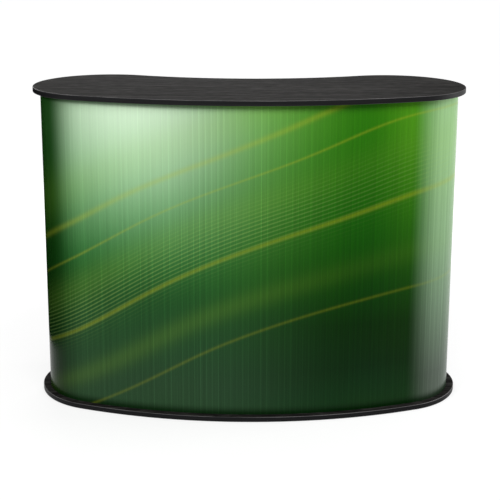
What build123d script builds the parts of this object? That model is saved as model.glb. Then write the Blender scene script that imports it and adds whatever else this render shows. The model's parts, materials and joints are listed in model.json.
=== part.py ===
from build123d import *
import math
import os

os.makedirs("parts", exist_ok=True)

# Exhibition counter: two kidney-shaped plates with a slatted tambour wall between them.
# Millimetres, +Z up, the front faces -Y, and the origin is under the middle of the footprint.

# Outline of both plates: four arcs that run smoothly into each other
counter_width = 1300.0
lobe_radius = 220.0
front_radius = 1400.0
back_radius = 900.0
counter_height = 960.0

# Plates
plate_thickness = 15.0
laminate_thickness = 0.8
edge_band_thickness = 2.0
edge_band_arris = 1.0

# Rubber pads under the base
pad_diameter = 30.0
pad_thickness = 4.0
pad_sunk = 2.5
pad_edge_distance = 45.0
pad_fit = 0.1

# Tambour wall
wall_inset = 22.0
slat_pitch = 17.5
slat_gap = 0.3
slat_thickness = 5.0
slat_crown_radius = 200.0
film_thickness = 0.8
film_crease_width = 0.9
film_crease_floor = 0.3
cloth_thickness = 0.6
groove_depth = 7.0
groove_side_clearance = 0.8
groove_floor_clearance = 1.0
wall_tail = 60.0

# Aluminium profile on the wall's two rear ends
end_profile_wall = 1.4
end_profile_lip = 9.0
end_profile_fit = 0.15
end_profile_gap = 0.5
end_profile_rounding = 3.0

# Posts and their plugs
post_diameter = 30.0
post_wall = 2.0
post_setback = 60.0
post_top_gap = 0.3
front_post_share = 0.76
plug_flange = 3.0
plug_spigot = 16.0
plug_fit = 0.1
plug_chamfer = 1.2

# Sockets of the posts
socket_height = 22.0
socket_wall = 4.0
socket_flange = 4.0
socket_fit = 0.3
socket_rim = 3.0
socket_chamfer = 1.0
screws_per_flange = 3

# Pan-head screws
screw_diameter = 4.0
screw_head_diameter = 7.6
screw_head_height = 2.4
screw_length = 12.0
screw_fit = 0.1
screw_head_gap = 2.0

# Shelf
shelf_height = 490.0
shelf_thickness = 16.0
shelf_wall_clearance = 8.0
shelf_hole_clearance = 1.0
collar_wall = 7.0
collar_rim = 2.0
clamp_screw_angle = 60.0

# Clamping knobs of the shelf
stud_diameter = 8.0
stud_fit = 0.1
stud_tip_gap = 0.3
stud_chamfer = 1.0
clamp_boss_diameter = 20.0
clamp_boss_reach = 8.0
knob_diameter = 36.0
knob_height = 16.0
knob_hub_height = 6.0
knob_hub_diameter = 18.0
knob_lobes = 5
knob_scallop_radius = 9.0
knob_scallop_depth = 3.5
knob_bevel = 1.5
knob_boss_gap = 1.0
knob_shelf_clearance = 4.0
knob_blind_depth = 12.0

# Every cut runs past what it cuts by this much
cut_overrun = 1.0

# Places worked out from the sizes above
lobe_x = counter_width / 2 - lobe_radius
front_rise = math.sqrt((front_radius - lobe_radius) ** 2 - lobe_x ** 2)
back_rise = math.sqrt((back_radius + lobe_radius) ** 2 - lobe_x ** 2)
lobe_y = (front_radius - front_rise - lobe_radius) / 2
front_centre_y = lobe_y + front_rise
back_centre_y = lobe_y + back_rise

wall_thickness = film_thickness + slat_thickness + cloth_thickness
cloth_line_inset = wall_inset + film_thickness + slat_thickness
wall_inner_inset = wall_inset + wall_thickness

# Directions on the outline are turns away from straight ahead, in radians
front_turn = math.asin(lobe_x / (front_radius - lobe_radius))
back_turn = math.asin(lobe_x / (back_radius + lobe_radius))
end_turn = back_turn - wall_tail / (back_radius + cloth_line_inset)

base_bottom = pad_thickness - pad_sunk
base_top = base_bottom + plate_thickness
top_bottom = counter_height - plate_thickness
wall_bottom = base_top - groove_depth + groove_floor_clearance
wall_top = top_bottom + groove_depth - groove_floor_clearance

post_radius = post_diameter / 2
bore_radius = post_radius + socket_fit
socket_radius = bore_radius + socket_wall
collar_radius = bore_radius + collar_wall
screw_head_radius = screw_head_diameter / 2
shelf_bottom = shelf_height - shelf_thickness
shelf_inset = wall_inner_inset + shelf_wall_clearance
clamp_drop = knob_diameter / 2 + knob_shelf_clearance
collar_height = clamp_drop + clamp_boss_diameter / 2 + collar_rim


def slab(face, bottom, top):
    """Upright solid over a flat face, between two heights."""
    return Pos(0, 0, bottom) * extrude(face, amount=top - bottom, dir=(0, 0, 1))


def disc(radius, bottom, top, x=0, y=0):
    """Upright cylinder about (x, y), between two heights."""
    return slab(Pos(x, y) * Circle(radius), bottom, top)


def turned(outline):
    """Body of revolution about Z, from (radius, height) corners."""
    return revolve(Plane.XZ * make_face(Polyline(*outline, close=True)), Axis.Z)


def circles(shape, radius, height):
    """Round edges of a shape that have a given radius and height."""
    edges = shape.edges().filter_by(GeomType.CIRCLE)
    return [e for e in edges if math.isclose(e.radius, radius) and math.isclose(e.center().Z, height)]


def save(shape, node):
    """Write one node to its own STEP file."""
    export_step(shape, "parts/" + node + ".step")


def save_group(shapes, node):
    """Write several separate solids as one node."""
    save(Compound(children=[solid for shape in shapes for solid in shape.solids()]), node)


# Kidney outline

def turn_point(centre_y, reach, side, turn):
    """Point at a turn from straight ahead, about a centre on the middle line."""
    return Vector(side * reach * math.sin(turn), centre_y - reach * math.cos(turn))


def front_joint(side, inset):
    """Point where the front arc meets a lobe."""
    return turn_point(front_centre_y, front_radius - inset, side, front_turn)


def back_point(side, inset, turn):
    """Point on the hollow rear arc."""
    return turn_point(back_centre_y, back_radius + inset, side, turn)


def front_arc(inset):
    """The shallow front arc, from left to right."""
    middle = turn_point(front_centre_y, front_radius - inset, 1, 0)
    return ThreePointArc(front_joint(-1, inset), middle, front_joint(1, inset))


def lobe_arc(side, inset):
    """The round end of one side."""
    middle = (side * (counter_width / 2 - inset), lobe_y)
    return ThreePointArc(front_joint(side, inset), middle, back_point(side, inset, back_turn))


def back_arc(inset):
    """The hollow rear arc."""
    ends = [back_point(side, inset, back_turn) for side in (1, -1)]
    return ThreePointArc(ends[0], back_point(1, inset, 0), ends[1])


def kidney(inset=0):
    """Face of the kidney outline, drawn in by a distance all round."""
    return Face(Wire([front_arc(inset), lobe_arc(1, inset), back_arc(inset), lobe_arc(-1, inset)]))


# Tambour wall: it follows the outline and stops at both sides of the rear opening

def wall_track(inset, stop_turn):
    """Arcs of the wall's line at one depth, up to its two rear ends."""
    middle_turn = (back_turn + stop_turn) / 2
    arcs = [lobe_arc(-1, inset), front_arc(inset), lobe_arc(1, inset)]
    for side in (-1, 1):
        ends = [back_point(side, inset, turn) for turn in (back_turn, stop_turn)]
        arcs.append(ThreePointArc(ends[0], back_point(side, inset, middle_turn), ends[1]))
    return arcs


def groove_face():
    """Plan of the groove that holds an edge of the wall."""
    stop_turn = end_turn - groove_side_clearance / back_radius
    outer = wall_inset - groove_side_clearance
    inner = wall_inner_inset + groove_side_clearance
    ends = [Line(back_point(side, outer, stop_turn), back_point(side, inner, stop_turn)) for side in (-1, 1)]
    return Face(Wire(wall_track(outer, stop_turn) + wall_track(inner, stop_turn) + ends))


front_run = (front_radius - cloth_line_inset) * front_turn
lobe_run = (lobe_radius - cloth_line_inset) * (math.pi + back_turn - front_turn)
half_wall_run = front_run + lobe_run + wall_tail

slats_per_half = round(half_wall_run / slat_pitch)
fitted_pitch = half_wall_run / slats_per_half
slat_width = fitted_pitch - slat_gap
crown_rise = slat_crown_radius - math.sqrt(slat_crown_radius ** 2 - (slat_width / 2) ** 2)


def cloth_point(distance):
    """Point on the cloth's outer line, at a distance round the wall from the middle of the front."""
    side = math.copysign(1, distance)
    run = abs(distance)
    if run <= front_run:
        reach = front_radius - cloth_line_inset
        return turn_point(front_centre_y, reach, side, run / reach)
    run -= front_run
    if run <= lobe_run:
        reach = lobe_radius - cloth_line_inset
        return Vector(side * lobe_x, 0) + turn_point(lobe_y, reach, side, front_turn + run / reach)
    reach = back_radius + cloth_line_inset
    return turn_point(back_centre_y, reach, side, back_turn - (run - lobe_run) / reach)


class SlatPlace:
    """Where one slat stands: u runs along the wall to the right and v points out of the counter."""

    def __init__(self, index):
        self.start = cloth_point(index * fitted_pitch)
        self.end = cloth_point((index + 1) * fitted_pitch)
        self.middle = (self.start + self.end) / 2
        self.along = (self.end - self.start).normalized()
        self.out = Vector(self.along.Y, -self.along.X)

    def at(self, u, v):
        """World point of a point in the slat's plan."""
        return self.middle + self.along * u + self.out * v

    def crown(self, half_width, cover=0):
        """Arc over the slat's crowned face, or over what covers it, from left to right."""
        centre = slat_thickness - slat_crown_radius
        edge = centre + math.sqrt((slat_crown_radius + cover) ** 2 - half_width ** 2)
        ends = [self.at(-half_width, edge), self.at(half_width, edge)]
        return ThreePointArc(ends[0], self.at(0, slat_thickness + cover), ends[1])


slat_places = [SlatPlace(index) for index in range(-slats_per_half, slats_per_half)]


def slat(place):
    """One slat: flat against the cloth, crowned outside."""
    half = slat_width / 2
    crown = place.crown(half)
    foot_left, foot_right = place.at(-half, 0), place.at(half, 0)
    sides = [Line(crown @ 0, foot_left), Line(foot_left, foot_right), Line(foot_right, crown @ 1)]
    return slab(Face(Wire([crown] + sides)), wall_bottom, wall_top)


def backing_cloth():
    """Cloth that the slats are glued to, bent only where two slats meet."""
    outer = [place.start for place in slat_places] + [slat_places[-1].end]
    outs = [slat_places[0].out]
    outs += [(a.out + b.out).normalized() for a, b in zip(slat_places, slat_places[1:])]
    outs += [slat_places[-1].out]
    inner = [point - out * cloth_thickness for point, out in zip(outer, outs)]
    return slab(make_face(Polyline(*outer, *reversed(inner), close=True)), wall_bottom, wall_top)


def print_film():
    """Printed film over the crowned slats, pressed into a fine crease wherever two of them meet."""
    between_creases = (fitted_pitch - film_crease_width) / 2
    inner = [place.crown(slat_width / 2) for place in slat_places]
    outer = [place.crown(between_creases, film_thickness) for place in slat_places]
    edges = inner + outer
    for number in range(1, len(slat_places)):
        out = (slat_places[number - 1].out + slat_places[number].out).normalized()
        back = Line(inner[number - 1] @ 1, inner[number] @ 0)
        floor = back @ 0.5 + out * film_crease_floor
        edges += [back, Line(outer[number - 1] @ 1, floor), Line(floor, outer[number] @ 0)]
    edges += [Line(inner[0] @ 0, outer[0] @ 0), Line(inner[-1] @ 1, outer[-1] @ 1)]
    return slab(Face(Wire(edges)), wall_bottom, wall_top)


def end_profile(place, side):
    """Aluminium channel pushed over one rear end of the wall."""
    half = slat_width / 2
    low = -cloth_thickness - end_profile_fit
    high = slat_thickness + film_thickness + end_profile_fit
    web = half + end_profile_fit
    lip = half - end_profile_lip
    outer = [(lip, low - end_profile_wall), (web + end_profile_wall, low - end_profile_wall)]
    outer += [(web + end_profile_wall, high + end_profile_wall), (lip, high + end_profile_wall)]
    channel = [(lip, high), (web, high), (web, low), (lip, low)]
    corners = [place.at(side * u, v) for u, v in outer + channel]
    section = make_face(Polyline(*corners, close=True))
    nose = [section.vertices().sort_by_distance(corner)[0] for corner in corners[1:3]]
    section = fillet(nose, end_profile_rounding)
    return slab(section, base_top + end_profile_gap, top_bottom - end_profile_gap)


# Posts, sockets, collars and screws

def post_sites():
    """Name, place and clamp direction of every post."""
    sites = []
    for side, name in ((-1, "left"), (1, "right")):
        x = side * front_post_share * lobe_x
        reach = front_radius - wall_inner_inset
        y = front_centre_y - math.sqrt(reach ** 2 - x ** 2) + post_setback
        sites.append(("front_" + name, x, y, Vector(0, 1)))
        y = lobe_y + lobe_radius - wall_inner_inset - post_setback
        sites.append(("rear_" + name, side * lobe_x, y, Vector(-side, 0)))
    return sites


def screw():
    """Pan-head screw, its head standing on height zero and its shank below."""
    shank = screw_diameter / 2
    outline = [(0, screw_head_height), (screw_head_radius, screw_head_height), (screw_head_radius, 0)]
    return turned(outline + [(shank, 0), (shank, -screw_length), (0, -screw_length)])


def screw_hole():
    """Hole that clears a screw's shank."""
    return disc(screw_diameter / 2 + screw_fit, -screw_length - screw_fit, cut_overrun)


def flange_radius(boss_radius):
    """Radius of a flange whose screw heads clear a boss."""
    return boss_radius + screw_head_gap + screw_head_diameter + socket_rim


def screw_places(boss_radius, first_angle):
    """Screws round a boss, on a flange that lies at height zero with its heads on top."""
    circle = boss_radius + screw_head_gap + screw_head_radius
    places = PolarLocations(circle, screws_per_flange, start_angle=first_angle)
    return [Pos(0, 0, socket_flange) * place for place in places]


def flanged_sleeve(boss_radius, height):
    """Sleeve with a flange at height zero, without its screw holes."""
    outer = flange_radius(boss_radius)
    outline = [(bore_radius, 0), (outer, 0), (outer, socket_flange), (boss_radius, socket_flange)]
    outline += [(boss_radius, height), (bore_radius, height)]
    sleeve = turned(outline)
    return chamfer(circles(sleeve, boss_radius, height), socket_chamfer)


def socket():
    """Socket for a post's end, standing on its flange at height zero."""
    sleeve = flanged_sleeve(socket_radius, socket_height)
    for place in screw_places(socket_radius, 0):
        sleeve -= place * screw_hole()
    return sleeve


def clamp_collar():
    """Collar that slides on a post, flange at height zero and clamp boss towards +X."""
    sleeve = flanged_sleeve(collar_radius, collar_height)
    reach = collar_radius + clamp_boss_reach
    boss = Pos(0, 0, clamp_drop) * Rot(0, 90, 0) * disc(clamp_boss_diameter / 2, 0, reach)
    hole = disc(stud_diameter / 2 + stud_fit, 0, reach + cut_overrun)
    hole = Pos(0, 0, clamp_drop) * Rot(0, 90, 0) * hole
    sleeve = sleeve + boss - disc(bore_radius, -cut_overrun, collar_height + cut_overrun) - hole
    for place in screw_places(collar_radius, clamp_screw_angle):
        sleeve -= place * screw_hole()
    return sleeve


def clamp_stud():
    """Threaded stud of a clamp, along +X from the post's face."""
    tip = post_radius + stud_tip_gap
    end = collar_radius + clamp_boss_reach + knob_boss_gap + knob_blind_depth
    rod = disc(stud_diameter / 2, tip, end)
    rod = chamfer(circles(rod, stud_diameter / 2, tip), stud_chamfer)
    return Pos(0, 0, clamp_drop) * Rot(0, 90, 0) * rod


def clamp_knob():
    """Lobed hand knob of a clamp, along +X."""
    hub_start = collar_radius + clamp_boss_reach + knob_boss_gap
    grip_start = hub_start + knob_hub_height
    grip_end = grip_start + knob_height
    radius = knob_diameter / 2
    grip = Circle(radius)
    scallop_circle = radius + knob_scallop_radius - knob_scallop_depth
    grip -= PolarLocations(scallop_circle, knob_lobes) * Circle(knob_scallop_radius)
    grip = slab(grip, grip_start, grip_end)
    grip = chamfer(grip.faces().sort_by(Axis.Z)[-1].edges(), knob_bevel)
    knob = grip + disc(knob_hub_diameter / 2, hub_start, grip_start)
    knob -= disc(stud_diameter / 2 + stud_fit, hub_start - cut_overrun, hub_start + knob_blind_depth)
    return Pos(0, 0, clamp_drop) * Rot(0, 90, 0) * knob


def post():
    """Tube of one post, at the middle of the footprint."""
    bottom = base_top + plug_flange
    top = top_bottom - post_top_gap - plug_flange
    bore = disc(post_radius - post_wall, bottom - cut_overrun, top + cut_overrun)
    return disc(post_radius, bottom, top) - bore


def post_plug():
    """Plug of a post's end: its flange lies at height zero and its spigot points up."""
    spigot = post_radius - post_wall - plug_fit
    tip = plug_flange + plug_spigot
    outline = [(0, 0), (post_radius - plug_chamfer, 0), (post_radius, plug_chamfer)]
    outline += [(post_radius, plug_flange), (spigot, plug_flange), (spigot, tip), (0, tip)]
    return turned(outline)


# Plates

def edge_band(inset, bottom, top):
    """Band glued round a plate, with its outer arrises eased."""
    plate = slab(kidney(inset), bottom, top)
    flat_faces = plate.faces().filter_by(Axis.Z)
    plate = chamfer(flat_faces.edges(), edge_band_arris)
    return plate - slab(kidney(inset + edge_band_thickness), bottom - cut_overrun, top + cut_overrun)


def pad_sites():
    """Places of the rubber pads: under every post and round the edge."""
    sites = [(x, y) for _, x, y, _ in post_sites()]
    sites += [(side * (counter_width / 2 - pad_edge_distance), lobe_y) for side in (-1, 1)]
    sites.append((0, front_centre_y - front_radius + pad_edge_distance))
    sites.append((0, back_centre_y - back_radius - pad_edge_distance))
    return sites


def on_sites(shape, height, flipped=False):
    """One copy of a shape at every post, turned to the post's clamp direction."""
    copies = []
    for _, x, y, towards in post_sites():
        heading = math.degrees(math.atan2(towards.Y, towards.X))
        tip = Rot(180, 0, 0) if flipped else Rot(0, 0, 0)
        copies.append(Pos(x, y, height) * Rot(0, 0, heading) * tip * shape)
    return copies


def screw_group(boss_radius, first_angle, one=None):
    """All screws of one flange, or another shape in their places."""
    shape = one or screw()
    return Compound(children=[(place * shape).solid() for place in screw_places(boss_radius, first_angle)])


def base():
    """Everything that stands on the floor, apart from the posts and the wall."""
    groove = slab(groove_face(), base_top - groove_depth, base_top + cut_overrun)
    holes = on_sites(screw_group(socket_radius, 0, screw_hole()), base_top)
    board = slab(kidney(edge_band_thickness), base_bottom, base_top - laminate_thickness) - groove
    sheet = slab(kidney(edge_band_thickness), base_top - laminate_thickness, base_top) - groove
    for hole in holes:
        board -= hole
        sheet -= hole
    pads = []
    for x, y in pad_sites():
        board -= disc(pad_diameter / 2 + pad_fit, base_bottom - cut_overrun, pad_thickness, x, y)
        pads.append(disc(pad_diameter / 2, 0, pad_thickness, x, y))
    save(board, "base_board")
    save(sheet, "base_laminate")
    save(edge_band(0, base_bottom, base_top), "base_edge_band")
    save_group(pads, "base_rubber_pads")
    save_group(on_sites(screw_group(socket_radius, 0), base_top), "base_socket_screws")
    for site, copy in zip(post_sites(), on_sites(socket(), base_top)):
        save(copy, "base_socket_" + site[0])


def counter_top():
    """The plate that lifts off, with its four sockets."""
    groove = slab(groove_face(), top_bottom - cut_overrun, top_bottom + groove_depth)
    board = slab(kidney(edge_band_thickness), top_bottom, counter_height - laminate_thickness) - groove
    for hole in on_sites(screw_group(socket_radius, 0, screw_hole()), top_bottom, flipped=True):
        board -= hole
    save(board, "top_board")
    sheet = slab(kidney(edge_band_thickness), counter_height - laminate_thickness, counter_height)
    save(sheet, "top_laminate")
    save(edge_band(0, top_bottom, counter_height), "top_edge_band")
    save_group(on_sites(screw_group(socket_radius, 0), top_bottom, flipped=True), "top_socket_screws")
    for site, copy in zip(post_sites(), on_sites(socket(), top_bottom, flipped=True)):
        save(copy, "top_socket_" + site[0])


def wall():
    """The slatted wall with its cloth, film and end profiles."""
    front_count = round(front_run / fitted_pitch)
    slats = [slat(place) for place in slat_places]
    save_group(slats[:slats_per_half - front_count], "wall_slats_left")
    save_group(slats[slats_per_half - front_count:slats_per_half + front_count], "wall_slats_front")
    save_group(slats[slats_per_half + front_count:], "wall_slats_right")
    save(backing_cloth(), "wall_backing_cloth")
    save(print_film(), "wall_print_film")
    save(end_profile(slat_places[0], -1), "wall_end_profile_left")
    save(end_profile(slat_places[-1], 1), "wall_end_profile_right")


def posts():
    """The four posts and their plugs."""
    for name, x, y, _ in post_sites():
        save(Pos(x, y) * post(), "post_" + name)
    save_group(on_sites(post_plug(), base_top), "post_foot_plugs")
    save_group(on_sites(post_plug(), top_bottom - post_top_gap, flipped=True), "post_head_plugs")


def shelf():
    """The shelf, its collars and its clamps."""
    board = slab(kidney(shelf_inset + edge_band_thickness), shelf_bottom, shelf_height)
    for _, x, y, _ in post_sites():
        hole_radius = post_radius + shelf_hole_clearance
        board -= disc(hole_radius, shelf_bottom - cut_overrun, shelf_height + cut_overrun, x, y)
    holes = screw_group(collar_radius, clamp_screw_angle, screw_hole())
    for hole in on_sites(holes, shelf_bottom, flipped=True):
        board -= hole
    save(board, "shelf_board")
    save(edge_band(shelf_inset, shelf_bottom, shelf_height), "shelf_edge_band")
    screws = on_sites(screw_group(collar_radius, clamp_screw_angle), shelf_bottom, flipped=True)
    save_group(screws, "shelf_collar_screws")
    pieces = {"shelf_collar_": clamp_collar(), "clamp_stud_": clamp_stud(), "clamp_knob_": clamp_knob()}
    for prefix, shape in pieces.items():
        for site, copy in zip(post_sites(), on_sites(shape, shelf_bottom, flipped=True)):
            save(copy, prefix + site[0])


base()
posts()
wall()
counter_top()
shelf()
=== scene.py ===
import json
import math
import bpy
from mathutils import Matrix, Vector


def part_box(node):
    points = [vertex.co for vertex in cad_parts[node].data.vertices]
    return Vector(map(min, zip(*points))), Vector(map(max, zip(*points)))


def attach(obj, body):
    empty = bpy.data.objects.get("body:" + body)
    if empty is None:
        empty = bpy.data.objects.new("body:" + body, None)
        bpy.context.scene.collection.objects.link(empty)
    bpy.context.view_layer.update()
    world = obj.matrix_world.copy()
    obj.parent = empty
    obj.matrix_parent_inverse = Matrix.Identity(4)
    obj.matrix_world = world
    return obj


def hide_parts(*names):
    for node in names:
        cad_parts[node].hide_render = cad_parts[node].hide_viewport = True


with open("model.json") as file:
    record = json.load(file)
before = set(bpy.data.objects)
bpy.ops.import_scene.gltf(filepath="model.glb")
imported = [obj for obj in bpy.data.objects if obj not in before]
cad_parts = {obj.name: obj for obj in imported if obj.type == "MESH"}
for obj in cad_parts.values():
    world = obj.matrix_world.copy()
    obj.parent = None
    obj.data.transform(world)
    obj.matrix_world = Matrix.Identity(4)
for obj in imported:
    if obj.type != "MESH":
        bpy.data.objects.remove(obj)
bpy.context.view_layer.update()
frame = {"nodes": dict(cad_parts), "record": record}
nodes = frame["nodes"]


# Camera, with its pitch and roll in radians

camera = bpy.data.objects.new("camera", bpy.data.cameras.new("camera"))
bpy.context.scene.collection.objects.link(camera)
bpy.context.scene.camera = camera
bpy.context.scene.view_settings.view_transform = "Standard"
camera.data.sensor_width = 36.0
camera.data.lens = 87.7
camera.data.shift_y = -0.12
camera.location = (0.003, -3.6, 1.505)
camera_pitch, camera_roll = 0.2347, -0.0029
camera.rotation_euler = (math.pi / 2 - camera_pitch, 0, 0)
camera.rotation_euler.rotate_axis("Z", -camera_roll)


# Node trees of the materials

def linear(*levels):
    """Colour of an sRGB triple of levels from 0 to 255."""
    shares = [level / 255 for level in levels]
    return [s / 12.92 if s <= 0.04045 else ((s + 0.055) / 1.055) ** 2.4 for s in shares] + [1.0]


class Graph:
    """Node tree of one material, with short calls for the nodes used here."""

    def __init__(self, name, roughness, gloss=0.5, **constants):
        """New material with its constants on the shader's own sockets."""
        self.material = bpy.data.materials.new(name)
        self.material.use_nodes = True
        self.tree = self.material.node_tree
        self.shader = self.tree.nodes["Principled BSDF"]
        constants.update(Roughness=roughness, Specular_IOR_Level=gloss)
        for socket, value in constants.items():
            self.shader.inputs[socket.replace("_", " ")].default_value = value

    def plug(self, socket, value):
        """Link a socket to another, or set its constant."""
        if isinstance(value, bpy.types.NodeSocket):
            self.tree.links.new(value, socket)
        elif value is not None:
            socket.default_value = value

    def add(self, kind, *inputs, **settings):
        """New node with its settings and its first inputs."""
        node = self.tree.nodes.new("ShaderNode" + kind)
        for key, value in settings.items():
            setattr(node, key, value)
        for socket, value in zip(node.inputs, inputs):
            self.plug(socket, value)
        return node

    def math(self, operation, a, b=None):
        """Result of an operation on one or two numbers."""
        return self.add("Math", a, b, operation=operation).outputs[0]

    def vector(self, operation, a, b):
        """Result of an operation on two vectors."""
        return self.add("VectorMath", a, b, operation=operation).outputs[0]

    def times(self, product, *factors):
        """Product of several numbers."""
        for factor in factors:
            product = self.math("MULTIPLY", product, factor)
        return product

    def weighed(self, *pairs):
        """Sum of numbers, each times its weight."""
        total = None
        for value, weight in pairs:
            part = self.math("MULTIPLY", value, weight)
            total = part if total is None else self.math("ADD", total, part)
        return total

    def span(self, value, start, end, at_start, at_end, curved=False):
        """Number mapped from one range to another, along a straight line or an S-shaped curve."""
        kind = "SMOOTHSTEP" if curved else "LINEAR"
        return self.add("MapRange", value, start, end, at_start, at_end, interpolation_type=kind).outputs[0]

    def stretch(self, place, scale):
        """Coordinates times a factor for each axis."""
        return self.add("Mapping", place, None, None, scale).outputs[0]

    def place(self, scale=(1, 1, 1)):
        """Coordinates on the piece in metres, times a factor for each axis."""
        return self.stretch(self.add("TexCoord").outputs["Object"], scale)

    def noise(self, place, scale, detail=2.0, roughness=0.5):
        """Cloudy pattern round 0.5."""
        return self.add("TexNoise", place, None, scale, detail, roughness).outputs[0]

    def ramp(self, value, *stops):
        """Colours by value; every stop is a place and a colour or grey share."""
        node = self.add("ValToRGB", value)
        while len(node.color_ramp.elements) < len(stops):
            node.color_ramp.elements.new(0.5)
        for element, (place, colour) in zip(node.color_ramp.elements, stops):
            element.position = place
            element.color = colour if isinstance(colour, list) else [colour] * 3 + [1]
        return node.outputs[0]

    def mix(self, share, a, b, blend="MIX"):
        """Mixed colour."""
        node = self.add("Mix", data_type="RGBA", blend_type=blend)
        for number, value in ((0, share), (6, a), (7, b)):
            self.plug(node.inputs[number], value)
        return node.outputs[2]

    def bell(self, value, middle, width):
        """Soft bump that is 1 where a value is at its middle."""
        away = self.math("DIVIDE", self.math("SUBTRACT", value, middle), width)
        return self.math("EXPONENT", self.times(away, away, -1.0))

    def levelness(self):
        """0 on an upright face, 1 on a level one."""
        normal = self.add("NewGeometry").outputs["Normal"]
        return self.math("ABSOLUTE", self.add("SeparateXYZ", normal).outputs[2])

    def bump(self, height, distance, strength, normal=None):
        """Normal of a height, which is in shares of a distance in metres."""
        node = self.add("Bump", strength, distance)
        self.plug(node.inputs["Height"], height)
        self.plug(node.inputs["Normal"], normal)
        return node.outputs[0]

    def finish(self, **sockets):
        """Material with its shader's sockets linked."""
        for name, value in sockets.items():
            self.plug(self.shader.inputs[name.replace("_", " ")], value)
        return self.material


# Studio: world, floor, lamps and card

def seen_white(tree):
    """1 for the rays that see the studio as a background, 0 for the ones that light the object."""
    path = tree.nodes.new("ShaderNodeLightPath")
    total = path.outputs["Is Camera Ray"]
    for name in ("Is Glossy Ray", "Is Transmission Ray"):
        both = tree.nodes.new("ShaderNodeMath")
        both.operation = "MAXIMUM"
        tree.links.new(total, both.inputs[0])
        tree.links.new(path.outputs[name], both.inputs[1])
        total = both.outputs[0]
    return total


def studio_world():
    """White where it is seen, and dimmer where it lights the object."""
    world = bpy.data.worlds.new("studio")
    bpy.context.scene.world = world
    world.use_nodes = True
    tree = world.node_tree
    background = tree.nodes["Background"]
    background.inputs["Color"].default_value = (1, 1, 1, 1)
    strength = tree.nodes.new("ShaderNodeMapRange")
    strength.inputs["To Min"].default_value = 0.39
    strength.inputs["To Max"].default_value = 1.0
    tree.links.new(seen_white(tree), strength.inputs["Value"])
    tree.links.new(strength.outputs[0], background.inputs["Strength"])


def floor_look():
    """Pale floor that glows less round the object, where the lamps reach it, so that the shadow shows."""
    g = Graph("studio_floor", 0.9, 0.0, Base_Color=linear(164, 164, 164), Emission_Color=(1, 1, 1, 1))
    away = g.add("VectorMath", g.place(), operation="LENGTH").outputs["Value"]
    glow = g.span(away, 1.0, 1.9, 0.65, 0.86, curved=True)
    return g.finish(Emission_Strength=g.times(seen_white(g.tree), glow))


def flat_piece(name, points, faces, material):
    """Object of flat faces."""
    mesh = bpy.data.meshes.new(name)
    mesh.from_pydata(points, [], faces)
    mesh.materials.append(material)
    one = bpy.data.objects.new(name, mesh)
    bpy.context.scene.collection.objects.link(one)
    return one


def lamp(name, location, target, size, power):
    """Soft rectangular lamp."""
    data = bpy.data.lights.new(name, "AREA")
    data.shape = "RECTANGLE"
    data.size, data.size_y = size
    data.energy = power
    one = bpy.data.objects.new(name, data)
    one.location = location
    direction = Vector(target) - Vector(location)
    one.rotation_euler = direction.to_track_quat("-Z", "Y").to_euler()
    one.visible_camera = False
    bpy.context.scene.collection.objects.link(one)


studio_world()
floor_half = 30.0
floor_points = [
    (-floor_half, -floor_half, 0),
    (floor_half, -floor_half, 0),
    (floor_half, floor_half, 0),
    (-floor_half, floor_half, 0),
]
floor = flat_piece("floor", floor_points, [(0, 1, 2, 3)], floor_look())

lamp("key_left", (-2.4, -2.6, 2.7), (-0.1, 0, 0.5), (1.6, 1.2), 72)
lamp("side_right", (2.4, 0.2, 1.2), (0.45, 0, 0.6), (1.0, 1.2), 26)
lamp("front", (0.5, -2.9, 3.3), (0, 0, 0.4), (2.6, 1.6), 62)
lamp("rear", (-0.4, 3.0, 1.5), (0, 0, 0.4), (2.4, 1.2), 38)

# Black card that only reflections see, behind the left end, with a foot that lies on the floor
card_half, card_top, card_low, card_foot = 1.5, 2.4, 0.02, 1.3
card_points = [
    (-card_half, 0, card_top),
    (card_half, 0, card_top),
    (card_half, 0, card_low),
    (-card_half, 0, card_low),
    (-card_half, -card_foot, card_low),
    (card_half, -card_foot, card_low),
]
card_look = Graph("studio_card", 1.0, 0.0, Base_Color=linear(0, 0, 0))
card = flat_piece("card", card_points, [(0, 1, 2, 3), (3, 2, 5, 4)], card_look.material)
card.location = (-2.0, 0.9, 0)
card.rotation_euler = (0, 0, math.radians(66))
card.visible_camera = card.visible_diffuse = card.visible_shadow = card.visible_transmission = False


# Wall: the printed film over the crowned slats and the cloth behind them, in metres

counter_width = 1.300
lobe_radius, front_radius, back_radius = 0.220, 1.400, 0.900
wall_inset, slat_pitch, slat_gap, slat_thickness, crown_radius = 0.022, 0.0175, 0.0003, 0.005, 0.200
film_thickness, crease_width, crease_floor, wall_tail = 0.0008, 0.0030, 0.00062, 0.060
cloth_thickness = 0.0006
cloth_inset = wall_inset + film_thickness + slat_thickness
lobe_x = counter_width / 2 - lobe_radius
front_rise = math.sqrt((front_radius - lobe_radius) ** 2 - lobe_x ** 2)
back_rise = math.sqrt((back_radius + lobe_radius) ** 2 - lobe_x ** 2)
lobe_y = (front_radius - front_rise - lobe_radius) / 2
front_turn = math.asin(lobe_x / (front_radius - lobe_radius))
back_turn = math.asin(lobe_x / (back_radius + lobe_radius))
front_run = (front_radius - cloth_inset) * front_turn
lobe_run = (lobe_radius - cloth_inset) * (math.pi + back_turn - front_turn)
half_run = front_run + lobe_run + wall_tail
slats_per_half = round(half_run / slat_pitch)
pitch_fitted = half_run / slats_per_half
wall_low, wall_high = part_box("wall_print_film")[0].z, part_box("wall_print_film")[1].z


def turn_point(centre_y, reach, side, turn):
    """Plan point on an arc, at an angle from its foremost point towards one side."""
    return Vector((side * reach * math.sin(turn), centre_y - reach * math.cos(turn), 0))


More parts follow.
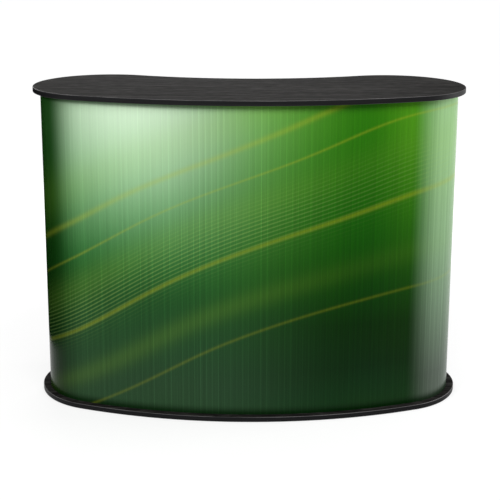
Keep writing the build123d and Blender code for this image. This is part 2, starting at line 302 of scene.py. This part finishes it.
def cloth_point(distance):
    """Plan point between slats and cloth, at a distance round the wall from the middle of the front."""
    side, run = math.copysign(1, distance), abs(distance)
    if run <= front_run:
        reach = front_radius - cloth_inset
        return turn_point(lobe_y + front_rise, reach, side, run / reach)
    run -= front_run
    if run <= lobe_run:
        reach = lobe_radius - cloth_inset
        return Vector((side * lobe_x, 0, 0)) + turn_point(lobe_y, reach, side, front_turn + run / reach)
    reach = back_radius + cloth_inset
    return turn_point(lobe_y + back_rise, reach, side, back_turn - (run - lobe_run) / reach)


def crown_point(middle, along, out, across, cover):
    """Point on a slat's crown, or as high over it as its cover, at a distance across from its middle."""
    rise = math.sqrt((crown_radius + cover) ** 2 - across ** 2)
    return middle + along * across + out * (slat_thickness - crown_radius + rise)


def film_profile(steps):
    """Outer and inner plan points of the film with their distance round the wall."""
    outer, inner, runs = [], [], []
    half = (pitch_fitted - slat_gap) / 2
    crowned = (pitch_fitted - crease_width) / 2
    last_out = None
    for index in range(-slats_per_half, slats_per_half):
        start, end = cloth_point(index * pitch_fitted), cloth_point((index + 1) * pitch_fitted)
        middle, along = (start + end) / 2, (end - start).normalized()
        out = Vector((along.y, -along.x, 0))
        if last_out is not None:
            crease = (inner[-1] + crown_point(middle, along, out, -half, 0)) / 2
            outer.append(crease + (out + last_out).normalized() * crease_floor)
            inner.append(crease)
            runs.append(index * pitch_fitted)
        for step in range(steps + 1):
            share = 2 * step / steps - 1
            outer.append(crown_point(middle, along, out, share * crowned, film_thickness))
            inner.append(crown_point(middle, along, out, share * half, 0))
            runs.append((index + 0.5) * pitch_fitted + share * crowned)
        last_out = out
    return outer, inner, runs


def cloth_profile():
    """Outer and inner plan points of the cloth, bent only where two slats meet, with their distances."""
    runs = [index * pitch_fitted for index in range(-slats_per_half, slats_per_half + 1)]
    outer = [cloth_point(run) for run in runs]
    inner = []
    for before, point, after in zip(outer[:1] + outer[:-1], outer, outer[1:] + outer[-1:]):
        along = (after - before).normalized()
        inner.append(point - Vector((along.y, -along.x, 0)) * cloth_thickness)
    return outer, inner, runs


def skin(name, profile, sharp_angle):
    """Upright closed skin between two plan lines, mapped by the distance round the wall and the height."""
    outer, inner, runs = profile
    count = len(outer)
    points = [(p.x, p.y, z) for line in (outer, inner) for z in (wall_low, wall_high) for p in line]
    rows = [range(start, start + count) for start in range(0, 4 * count, count)]
    low_out, high_out, low_in, high_in = rows
    faces = []
    for i in range(count - 1):
        j = i + 1
        faces.append((low_out[i], low_out[j], high_out[j], high_out[i]))
        faces.append((low_in[j], low_in[i], high_in[i], high_in[j]))
        faces.append((high_out[i], high_out[j], high_in[j], high_in[i]))
        faces.append((low_out[j], low_out[i], low_in[i], low_in[j]))
    faces.append((low_out[0], high_out[0], high_in[0], low_in[0]))
    faces.append((low_out[-1], low_in[-1], high_in[-1], high_out[-1]))
    mesh = bpy.data.meshes.new(name)
    mesh.from_pydata(points, [], faces)
    layer = mesh.uv_layers.new(name="wall_map")
    for loop in mesh.loops:
        layer.data[loop.index].uv = (runs[loop.vertex_index % count], points[loop.vertex_index][2])
    return smoothed(mesh, sharp_angle)


def smoothed(mesh, sharp_angle):
    """Mesh shaded smooth, apart from its edges above an angle in degrees."""
    mesh.shade_smooth()
    mesh.set_sharp_from_angle(angle=math.radians(sharp_angle))
    return mesh


def turned(name, rings, steps, lobe=None):
    """Mesh about +Z: a ring is its height, its radius and its share of the lobed radius."""
    points, faces = [], []
    for height, radius, share in rings:
        for step in range(steps):
            angle = 2 * math.pi * step / steps
            reach = radius + (share * lobe(angle) if share else 0)
            points.append((reach * math.cos(angle), reach * math.sin(angle), height))
    for ring in range(len(rings) - 1):
        for step in range(steps):
            after = (step + 1) % steps
            low, high = ring * steps, (ring + 1) * steps
            faces.append((low + step, low + after, high + after, high + step))
    last = (len(rings) - 1) * steps
    faces += [tuple(range(steps))[::-1], tuple(range(last, last + steps))]
    mesh = bpy.data.meshes.new(name)
    mesh.from_pydata(points, [], faces)
    return mesh


# Screws: pan heads of 2.4 mm over a thread of 12 mm, with a cross recess

thread_length, thread_pitch, thread_turns = 0.0120, 0.0012, 9
tip_height, tip_radius, root_radius, crest_radius = 0.0008, 0.0002, 0.0017, 0.0020
head_height = 0.0024
head_sides = [(0.0, 0.0036), (0.0003, 0.0038), (0.0012, 0.0038), (0.0018, 0.0035), (0.0022, 0.0029)]
head_crown = [(0.00235, 0.0022), (0.00238, 0.0019)]
head_middle_radii = (0.0015, 0.0011, 0.0007, 0.0004, 0.0001)
recess_depth, recess_reach, recess_half_width = 0.0011, 0.0021, 0.00045


def screw_mesh():
    """One screw that points down, with the underside of its head at height 0."""
    rings = [(-thread_length, tip_radius), (tip_height - thread_length, crest_radius)]
    for number in range(thread_turns):
        crest = (number + 1) * thread_pitch - thread_length
        rings += [(crest, crest_radius), (crest + thread_pitch / 2, root_radius)]
    rings += [(0.0, crest_radius)] + head_sides + head_crown
    rings += [(head_height, radius) for radius in head_middle_radii]
    mesh = turned("one_screw", [(height, radius, 0) for height, radius in rings], 32)
    for vertex in mesh.vertices:
        x, y, z = vertex.co
        in_arm = min(abs(x), abs(y)) < recess_half_width and math.hypot(x, y) < recess_reach
        if z > head_height - recess_depth and in_arm:
            vertex.co.z -= recess_depth
    return mesh


def screw_feet(node):
    """Plan places of a node's screws and the lowest and highest level of each."""
    # Points nearer to each other than this in plan belong to one screw
    widest = 0.008
    found = []
    for vertex in nodes[node].data.vertices:
        x, y, z = vertex.co
        for place in found:
            if math.hypot(place[0] - x, place[1] - y) < widest:
                place[2].append(vertex.co.copy())
                break
        else:
            found.append((x, y, [vertex.co.copy()]))
    feet = []
    for _, _, cloud in found:
        low = [min(point[axis] for point in cloud) for axis in range(3)]
        high = [max(point[axis] for point in cloud) for axis in range(3)]
        feet.append(((low[0] + high[0]) / 2, (low[1] + high[1]) / 2, low[2], high[2]))
    return feet


def screws(node, body, heads_up):
    """Detailed screws in the places of a node's plain ones, each driven home at another angle."""
    angle_step = 0.9
    one_screw = screw_mesh()
    points, faces = [], []
    for number, (x, y, low, high) in enumerate(screw_feet(node)):
        spin = Matrix.Rotation(angle_step * number, 4, "Z")
        if heads_up:
            place = Matrix.Translation((x, y, high - head_height)) @ spin
        else:
            place = Matrix.Translation((x, y, low + head_height)) @ Matrix.Rotation(math.pi, 4, "X") @ spin
        start = len(points)
        points += [place @ vertex.co for vertex in one_screw.vertices]
        faces += [tuple(start + corner for corner in face.vertices) for face in one_screw.polygons]
    mesh = bpy.data.meshes.new(node + "_detailed")
    mesh.from_pydata(points, [], faces)
    show(node + "_detailed", smoothed(mesh, sharp_angle=35), body, "zinc_steel", node)


# Knobs: five-lobed grips of 36 mm on a hub, with a pressed-in cap

grip_radius, scallop_centre, scallop_radius, cusp_round = 0.018, 0.0235, 0.009, 0.0016
knob_hub = [
    (0.0, 0.0041, 0),
    (0.0, 0.0084, 0),
    (0.0003, 0.0088, 0),
    (0.0008, 0.0090, 0),
    (0.0050, 0.0090, 0),
    (0.0056, 0.0093, 0),
    (0.0060, 0.0100, 0),
]
knob_grip = [
    (0.0060, -0.0018, 1),
    (0.0063, -0.0009, 1),
    (0.0070, -0.0003, 1),
    (0.0082, 0.0, 1),
    (0.0196, 0.0, 1),
    (0.0206, -0.0003, 1),
    (0.0213, -0.0009, 1),
    (0.0218, -0.0018, 1),
    (0.0220, -0.0030, 1),
]
knob_cap = [
    (0.0221, 0.0096, 0),
    (0.0220, 0.0092, 0),
    (0.0214, 0.0090, 0),
    (0.0214, 0.0086, 0),
    (0.0219, 0.0084, 0),
    (0.0221, 0.0078, 0),
    (0.0222, 0.0050, 0),
    (0.0222, 0.0001, 0),
]


def grip_reach(angle):
    """Radius of the five-lobed grip, with its cusps rounded off."""
    turn = (angle + math.pi / 5) % (2 * math.pi / 5) - math.pi / 5
    across = scallop_centre * math.sin(turn)
    if abs(across) >= scallop_radius:
        return grip_radius
    scallop = scallop_centre * math.cos(turn) - math.sqrt(scallop_radius ** 2 - across ** 2)
    blend = min(max(0.5 + 0.5 * (grip_radius - scallop) / cusp_round, 0), 1)
    return grip_radius + (scallop - grip_radius) * blend - cusp_round * blend * (1 - blend)


def knobs():
    """Rounded hand knobs on the axes of their studs."""
    for site in ("front_left", "front_right", "rear_left", "rear_right"):
        low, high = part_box("clamp_knob_" + site)
        stud_low, stud_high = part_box("clamp_stud_" + site)
        mesh = turned("knob_" + site, knob_hub + knob_grip + knob_cap, 120, grip_reach)
        axis = 0 if stud_high.x - stud_low.x > stud_high.y - stud_low.y else 1
        outward = 1 if high[axis] > stud_high[axis] else -1
        direction = Vector((0, 0, 0))
        direction[axis] = outward
        foot = (stud_low + stud_high) / 2
        foot[axis] = low[axis] if outward > 0 else high[axis]
        up = Vector((0, 0, 1))
        place = Matrix((up, direction.cross(up), direction)).transposed().to_4x4()
        place.translation = foot
        mesh.transform(place)
        mesh = smoothed(mesh, sharp_angle=38)
        show("knob_" + site, mesh, "clamp_" + site, "knob_plastic", "clamp_knob_" + site)


# Finishes

def woodgrain_look():
    """Black laminate with pores, flecks and broader streaks along X, which wander a little."""
    g = Graph("woodgrain_laminate", 0.85, 0.03)
    wander = g.add("TexNoise", g.place((1.3, 2.6, 1.0)), None, None, 0.0).outputs[1]
    bend = g.vector("SUBTRACT", wander, (0.5, 0.5, 0.5))
    bend = g.vector("MULTIPLY", bend, (0.0, 0.022, 0.0))
    place = g.vector("ADD", g.place(), bend)
    broad = g.noise(g.stretch(place, (2.2, 74.0, 1.0)), 1.0, 5.0, 0.66)
    pores = g.noise(g.stretch(place, (13.0, 420.0, 1.0)), 1.0, 3.0, 0.6)
    flecks = g.noise(g.stretch(place, (24.0, 96.0, 1.0)), 1.0, 2.0, 0.6)
    grain = g.weighed((broad, 0.46), (pores, 0.24), (flecks, 0.30))
    colour = g.ramp(grain, (0.38, linear(7, 7, 6)), (0.49, linear(25, 24, 23)), (0.61, linear(54, 53, 51)))
    roughness = g.ramp(pores, (0.3, 0.96), (0.7, 0.78))
    return g.finish(Base_Color=colour, Roughness=roughness, Normal=g.bump(grain, 0.0004, 0.5))


def band_look():
    """Smooth black band with faint lines along it, and a painted highlight along its arrises, stronger in
    some patches than in others.
    """
    g = Graph("edge_band", 0.42, 0.07)
    lines = g.noise(g.place((6.0, 6.0, 900.0)), 1.0, 3.0)
    # Painted highlight: a paler grey on the rounded arrises, in patches along them
    arris_highlight_patches = g.span(g.noise(g.place(), 5.0, 3.0), 0.36, 0.64, 0.15, 0.75)
    arris_highlight = g.times(g.bell(g.levelness(), 0.72, 0.22), arris_highlight_patches)
    colour = g.ramp(lines, (0.3, linear(19, 19, 20)), (0.7, linear(29, 29, 30)))
    colour = g.mix(arris_highlight, colour, linear(122, 119, 120))
    roughness = g.ramp(lines, (0.2, 0.36), (0.8, 0.52))
    return g.finish(Base_Color=colour, Roughness=roughness, Normal=g.bump(lines, 0.0001, 0.25))


def board_look(name):
    """Board with pearl-textured black melamine on its faces and bare fibreboard where it is cut."""
    g = Graph(name, 0.6, 0.25)
    pearl = g.noise(g.place(), 420.0, 3.0, 0.55)
    patches = g.noise(g.place(), 5.0, 2.0)
    tone = g.weighed((pearl, 0.7), (patches, 0.3))
    melamine = g.ramp(tone, (0.35, linear(27, 27, 28)), (0.65, linear(43, 43, 44)))
    fibre = g.noise(g.place((300.0, 300.0, 1400.0)), 1.0, 4.0, 0.6)
    core = g.ramp(fibre, (0.3, linear(104, 78, 52)), (0.7, linear(150, 120, 86)))
    colour = g.mix(g.math("LESS_THAN", g.levelness(), 0.5), melamine, core)
    roughness = g.ramp(pearl, (0.3, 0.5), (0.7, 0.68))
    return g.finish(Base_Color=colour, Roughness=roughness, Normal=g.bump(pearl, 0.0003, 0.35))


def rubber_look():
    """Black rubber with a crumbly surface."""
    g = Graph("pad_rubber", 0.9, 0.3)
    crumbs = g.add("TexVoronoi", g.place(), None, 500.0).outputs[0]
    colour = g.ramp(crumbs, (0.1, linear(30, 30, 30)), (0.7, linear(20, 20, 20)))
    return g.finish(Base_Color=colour, Normal=g.bump(crumbs, 0.0003, 0.5))


def zinc_look():
    """Zinc plating: bluish, slightly cloudy, with a faint yellow cast here and there."""
    g = Graph("zinc_steel", 0.3, Metallic=1.0)
    cloud = g.noise(g.place(), 260.0, 3.0)
    colour = g.ramp(
        cloud,
        (0.3, linear(186, 190, 198)),
        (0.55, linear(206, 208, 212)),
        (0.8, linear(214, 208, 190)),
    )
    roughness = g.ramp(cloud, (0.3, 0.24), (0.8, 0.42))
    return g.finish(Base_Color=colour, Roughness=roughness, Normal=g.bump(cloud, 0.00005, 0.3))


def moulded_look(name, dark, pale, grain_scale, roughness, edge_radius):
    """Moulded black plastic with a spark-eroded grain, and rounded edges where they have a radius."""
    g = Graph(name, roughness, 0.4)
    grain = g.noise(g.place(), grain_scale, 3.0, 0.6)
    patches = g.noise(g.place(), 30.0, 2.0)
    tone = g.weighed((grain, 0.6), (patches, 0.4))
    colour = g.ramp(tone, (0.35, linear(*dark)), (0.65, linear(*pale)))
    normal = g.add("Bevel", edge_radius, samples=4).outputs[0] if edge_radius else None
    shine = g.ramp(grain, (0.3, roughness - 0.1), (0.7, roughness + 0.1))
    return g.finish(Base_Color=colour, Roughness=shine, Normal=g.bump(grain, 0.0002, 0.35, normal))


def anodised_look():
    """Natural anodised aluminium with fine drawing lines along Z."""
    g = Graph("anodised_aluminium", 0.36, Metallic=1.0)
    lines = g.noise(g.place((900.0, 900.0, 2.5)), 1.0, 3.0, 0.6)
    cloud = g.noise(g.place((12.0, 12.0, 3.0)), 1.0, 2.0)
    tone = g.weighed((lines, 0.6), (cloud, 0.4))
    colour = g.ramp(tone, (0.3, linear(142, 145, 149)), (0.7, linear(174, 176, 179)))
    roughness = g.ramp(lines, (0.3, 0.34), (0.7, 0.50))
    return g.finish(Base_Color=colour, Roughness=roughness, Normal=g.bump(lines, 0.00006, 0.4))


def slat_look():
    """Extruded light grey plastic with die lines along Z."""
    g = Graph("slat_plastic", 0.5, 0.4)
    lines = g.noise(g.place((700.0, 700.0, 3.0)), 1.0, 3.0)
    colour = g.ramp(lines, (0.3, linear(178, 180, 180)), (0.7, linear(202, 204, 203)))
    return g.finish(Base_Color=colour, Normal=g.bump(lines, 0.0001, 0.3))


def weave_look():
    """Plain-woven dark grey cloth, with slubs and slightly uneven dye."""
    thread = 0.0012
    g = Graph("backing_cloth", 0.95, 0.15, Sheen_Weight=0.25, Sheen_Roughness=0.5)
    uv = g.add("UVMap", uv_map="wall_map").outputs[0]
    wobble = g.add("TexNoise", g.stretch(uv, (60.0, 60.0, 1.0))).outputs[1]
    wobble = g.vector("MULTIPLY", wobble, (0.0004, 0.0004, 0.0))
    split = g.add("SeparateXYZ", g.vector("ADD", uv, wobble))
    warp = g.math("SINE", g.times(split.outputs[0], math.pi / thread))
    weft = g.math("SINE", g.times(split.outputs[1], math.pi / thread))
    over = g.math("GREATER_THAN", g.times(warp, weft), 0.0)
    warp, weft = g.math("ABSOLUTE", warp), g.math("ABSOLUTE", weft)
    height = g.weighed((warp, over), (weft, g.math("SUBTRACT", 1.0, over)))
    slub = g.noise(g.stretch(uv, (30.0, 500.0, 1.0)), 1.0, 3.0)
    dye = g.noise(g.stretch(uv, (6.0, 5.0, 1.0)), 1.0, 3.0)
    tone = g.weighed((height, 0.5), (g.math("ADD", slub, dye), 0.3))
    colour = g.ramp(tone, (0.25, linear(48, 48, 52)), (0.95, linear(98, 98, 102)))
    return g.finish(Base_Color=colour, Normal=g.bump(height, 0.0004, 0.7))


def print_ground(g, uv, run, height, drift):
    """Colour without lines, and how much each place belongs to the painted highlight at the upper left and
    to the painted shade at the rear ends.
    """
    # Greens that darken downwards
    shade = g.math("ADD", height, g.times(g.math("SUBTRACT", drift, 0.5), 0.2))
    colour = g.ramp(
        shade,
        (0.0, linear(28, 62, 28)),
        (0.12, linear(17, 48, 18)),
        (0.28, linear(9, 47, 7)),
        (0.47, linear(13, 70, 4)),
        (0.63, linear(22, 93, 4)),
        (0.90, linear(44, 120, 6)),
    )
    # Warmer and cooler greens in large soft patches
    tint = g.noise(g.stretch(uv, (2.3, 3.1, 1)), 1.0, 1.0)
    tint = g.ramp(tint, (0.38, [0.80, 0.97, 1.0, 1.0]), (0.62, [1.0, 0.99, 0.74, 1.0]))
    colour = g.mix(1.0, colour, tint, "MULTIPLY")
    # Haze over the left half, and two upright beams of a lighter green
    haze = g.span(run, 0.30, -0.15, 0.0, 0.6, curved=True)
    colour = g.mix(haze, colour, g.ramp(height, (0.1, linear(58, 90, 62)), (0.5, linear(36, 100, 42))))
    for middle, width, share in ((0.49, 0.090, 0.42), (0.02, 0.19, 0.50)):
        beam = g.times(g.bell(run, middle, width), g.math("POWER", height, 3.0))
        colour = g.mix(g.times(beam, share), colour, linear(124, 206, 48))
    # Painted highlight: a pale glow at the upper left, cut back just under the top, where the top's
    # overhang casts its shade
    upper = g.span(height, 0.34, 0.92, 0.0, 0.96, curved=True)
    upper = g.times(upper, g.span(height, 0.931, 0.943, 1.0, 0.2))
    glow = g.times(g.bell(run, -0.34, 0.275), upper)
    pale = g.ramp(height, (0.44, linear(118, 205, 118)), (0.90, linear(212, 240, 207)))
    colour = g.mix(glow, colour, pale)
    # Painted reflection: a pale band round the right end, brighter higher up
    pale = g.ramp(
        height,
        (0.10, linear(106, 118, 106)),
        (0.32, linear(134, 162, 132)),
        (0.52, linear(154, 192, 146)),
        (0.80, linear(168, 212, 150)),
    )
    colour = g.mix(g.span(run, 0.480, 0.585, 0.0, 0.85, curved=True), colour, pale)
    # Painted shade: a darker green towards the rear ends of the wall, and along its foot, where it meets
    # the base
    painted_end_shade = g.math("ABSOLUTE", g.math("SUBTRACT", run, 0.097))
    painted_end_shade = g.span(painted_end_shade, 0.590, 0.715, 0.0, 0.96, curved=True)
    colour = g.mix(painted_end_shade, colour, g.ramp(height, (0.1, linear(9, 36, 9)), (0.9, linear(14, 60, 8))))
    painted_bottom_shade = g.span(height, 0.018, 0.046, 0.85, 0.0, curved=True)
    return g.mix(painted_bottom_shade, colour, linear(8, 34, 8)), glow, painted_end_shade


def print_waves(g, colour, run, height, drift, painted_end_shade):
    """Colour with sweeps, yellow lines and a bundle of fine lines, which all wave together."""
    swing = g.times(g.math("SINE", g.math("ADD", g.times(run, 2.1), 0.7)), 0.16)
    phase = g.math("SUBTRACT", g.math("SUBTRACT", height, swing), g.times(run, 0.18))
    phase = g.math("ADD", phase, g.times(drift, 0.10))
    # The lines are fainter where the rear ends carry painted shade
    fainter = g.math("SUBTRACT", 1.0, g.times(painted_end_shade, 0.55))
    fading = g.times(g.span(run, -0.10, 0.35, 1.0, 0.45, curved=True), fainter)
    for middle, width, share in ((0.31, 0.035, 0.10), (0.60, 0.050, 0.11), (0.89, 0.070, 0.12)):
        sweep = g.times(g.bell(phase, middle, width), fading)
        colour = g.mix(g.times(sweep, share), colour, linear(142, 190, 58))
    yellow_lines = ((0.20, 0.005, 0.13), (0.47, 0.007, 0.28), (0.69, 0.004, 0.23), (0.79, 0.009, 0.27))
    for middle, width, share in yellow_lines:
        line = g.times(g.bell(phase, middle, width), fainter)
        colour = g.mix(g.times(line, share), colour, linear(176, 186, 44))
    # The fine lines fade out at both edges of their bundle
    fine = g.math("POWER", g.math("ABSOLUTE", g.math("SINE", g.times(phase, 260.0))), 7.0)
    fine = g.times(fine, g.bell(phase, 0.53, 0.07))
    return g.mix(g.times(fine, fading, 0.24), colour, linear(168, 205, 110))


def print_joints(g, colour, uv, run, height, glow):
    """Colour with streaks, and a painted highlight, a paler stripe, along every joint between slats."""
    cell = g.math("DIVIDE", run, pitch_fitted)
    number = g.math("FLOOR", g.math("ADD", cell, 0.5))
    # Painted highlight along each joint, strongest left of the middle of the front and uneven from slat to
    # slat
    joint = g.bell(g.math("SUBTRACT", cell, number), 0.0, 0.070)
    fate = g.add("TexWhiteNoise", None, number, noise_dimensions="1D").outputs[0]
    uneven = g.span(fate, 0.0, 1.0, 0.4, 1.0)
    strongest = g.math("ADD", g.times(g.bell(run, -0.13, 0.26), 0.30), 0.24)
    joint_highlights = g.times(joint, uneven, strongest)
    streaks = g.noise(g.stretch(uv, (150.0, 0.9, 1)), 1.0, 3.0, 0.7)
    streaks = g.span(streaks, 0.32, 0.68, 0.72, 0.98)
    # Both are weaker higher up, and weakest in the painted highlight at the upper left
    share = g.times(g.span(height, 0.15, 0.85, 0.9, 0.5), g.span(glow, 0.2, 0.9, 1.0, 0.4))
    return g.mix(share, colour, g.math("ADD", streaks, joint_highlights), "MULTIPLY")


def print_look():
    """Printed film, mapped by the distance round the wall and the height, with white cut edges."""
    g = Graph("print_film", 0.24, 0.045)
    uv = g.add("UVMap", uv_map="wall_map").outputs[0]
    split = g.add("SeparateXYZ", uv)
    run, height = split.outputs[0], split.outputs[1]
    drift = g.noise(g.stretch(uv, (1.3, 1.9, 1)), 1.0, 0.0)
    colour, glow, painted_end_shade = print_ground(g, uv, run, height, drift)
    colour = print_waves(g, colour, run, height, drift, painted_end_shade)
    colour = print_joints(g, colour, uv, run, height, glow)
    colour = g.mix(g.math("GREATER_THAN", g.levelness(), 0.8), colour, linear(214, 216, 212))
    peel = g.noise(g.place(), 260.0, 2.0)
    return g.finish(Base_Color=colour, Normal=g.bump(peel, 0.0002, 0.25))


finishes = {
    "woodgrain_laminate": woodgrain_look(),
    "edge_band": band_look(),
    "board_core": board_look("board_core"),
    "shelf_melamine": board_look("shelf_melamine"),
    "pad_rubber": rubber_look(),
    "zinc_steel": zinc_look(),
    "knob_plastic": moulded_look("knob_plastic", (22, 22, 23), (34, 34, 35), 1500.0, 0.5, 0),
    "plug_plastic": moulded_look("plug_plastic", (24, 24, 25), (36, 36, 37), 900.0, 0.45, 0.0004),
    "anodised_aluminium": anodised_look(),
    "socket_nylon": moulded_look("socket_nylon", (26, 26, 27), (38, 38, 39), 700.0, 0.55, 0.0006),
    "slat_plastic": slat_look(),
    "backing_cloth": weave_look(),
    "print_film": print_look(),
}


# Pieces

def show(name, mesh, body, finish, *stands_for):
    """Object of a mesh that rides on a body and takes the place of CAD nodes."""
    one = bpy.data.objects.new(name, mesh)
    bpy.context.scene.collection.objects.link(one)
    mesh.materials.append(finishes[finish])
    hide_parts(*stands_for)
    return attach(one, body)


slot_of = {part["node"]: part["material_slot"] for part in frame["record"]["subparts"]}
for name, piece in nodes.items():
    piece.data.materials.clear()
    piece.data.materials.append(finishes[slot_of[name]])

film_mesh = skin("wall_film_printed", film_profile(steps=6), sharp_angle=12)
show("wall_film_printed", film_mesh, "base", "print_film", "wall_print_film")
cloth_mesh = skin("wall_cloth_woven", cloth_profile(), sharp_angle=40)
cloth = show("wall_cloth_woven", cloth_mesh, "base", "backing_cloth", "wall_backing_cloth")
screws("base_socket_screws", "base", heads_up=True)
screws("top_socket_screws", "top", heads_up=False)
screws("shelf_collar_screws", "shelf", heads_up=False)
knobs()
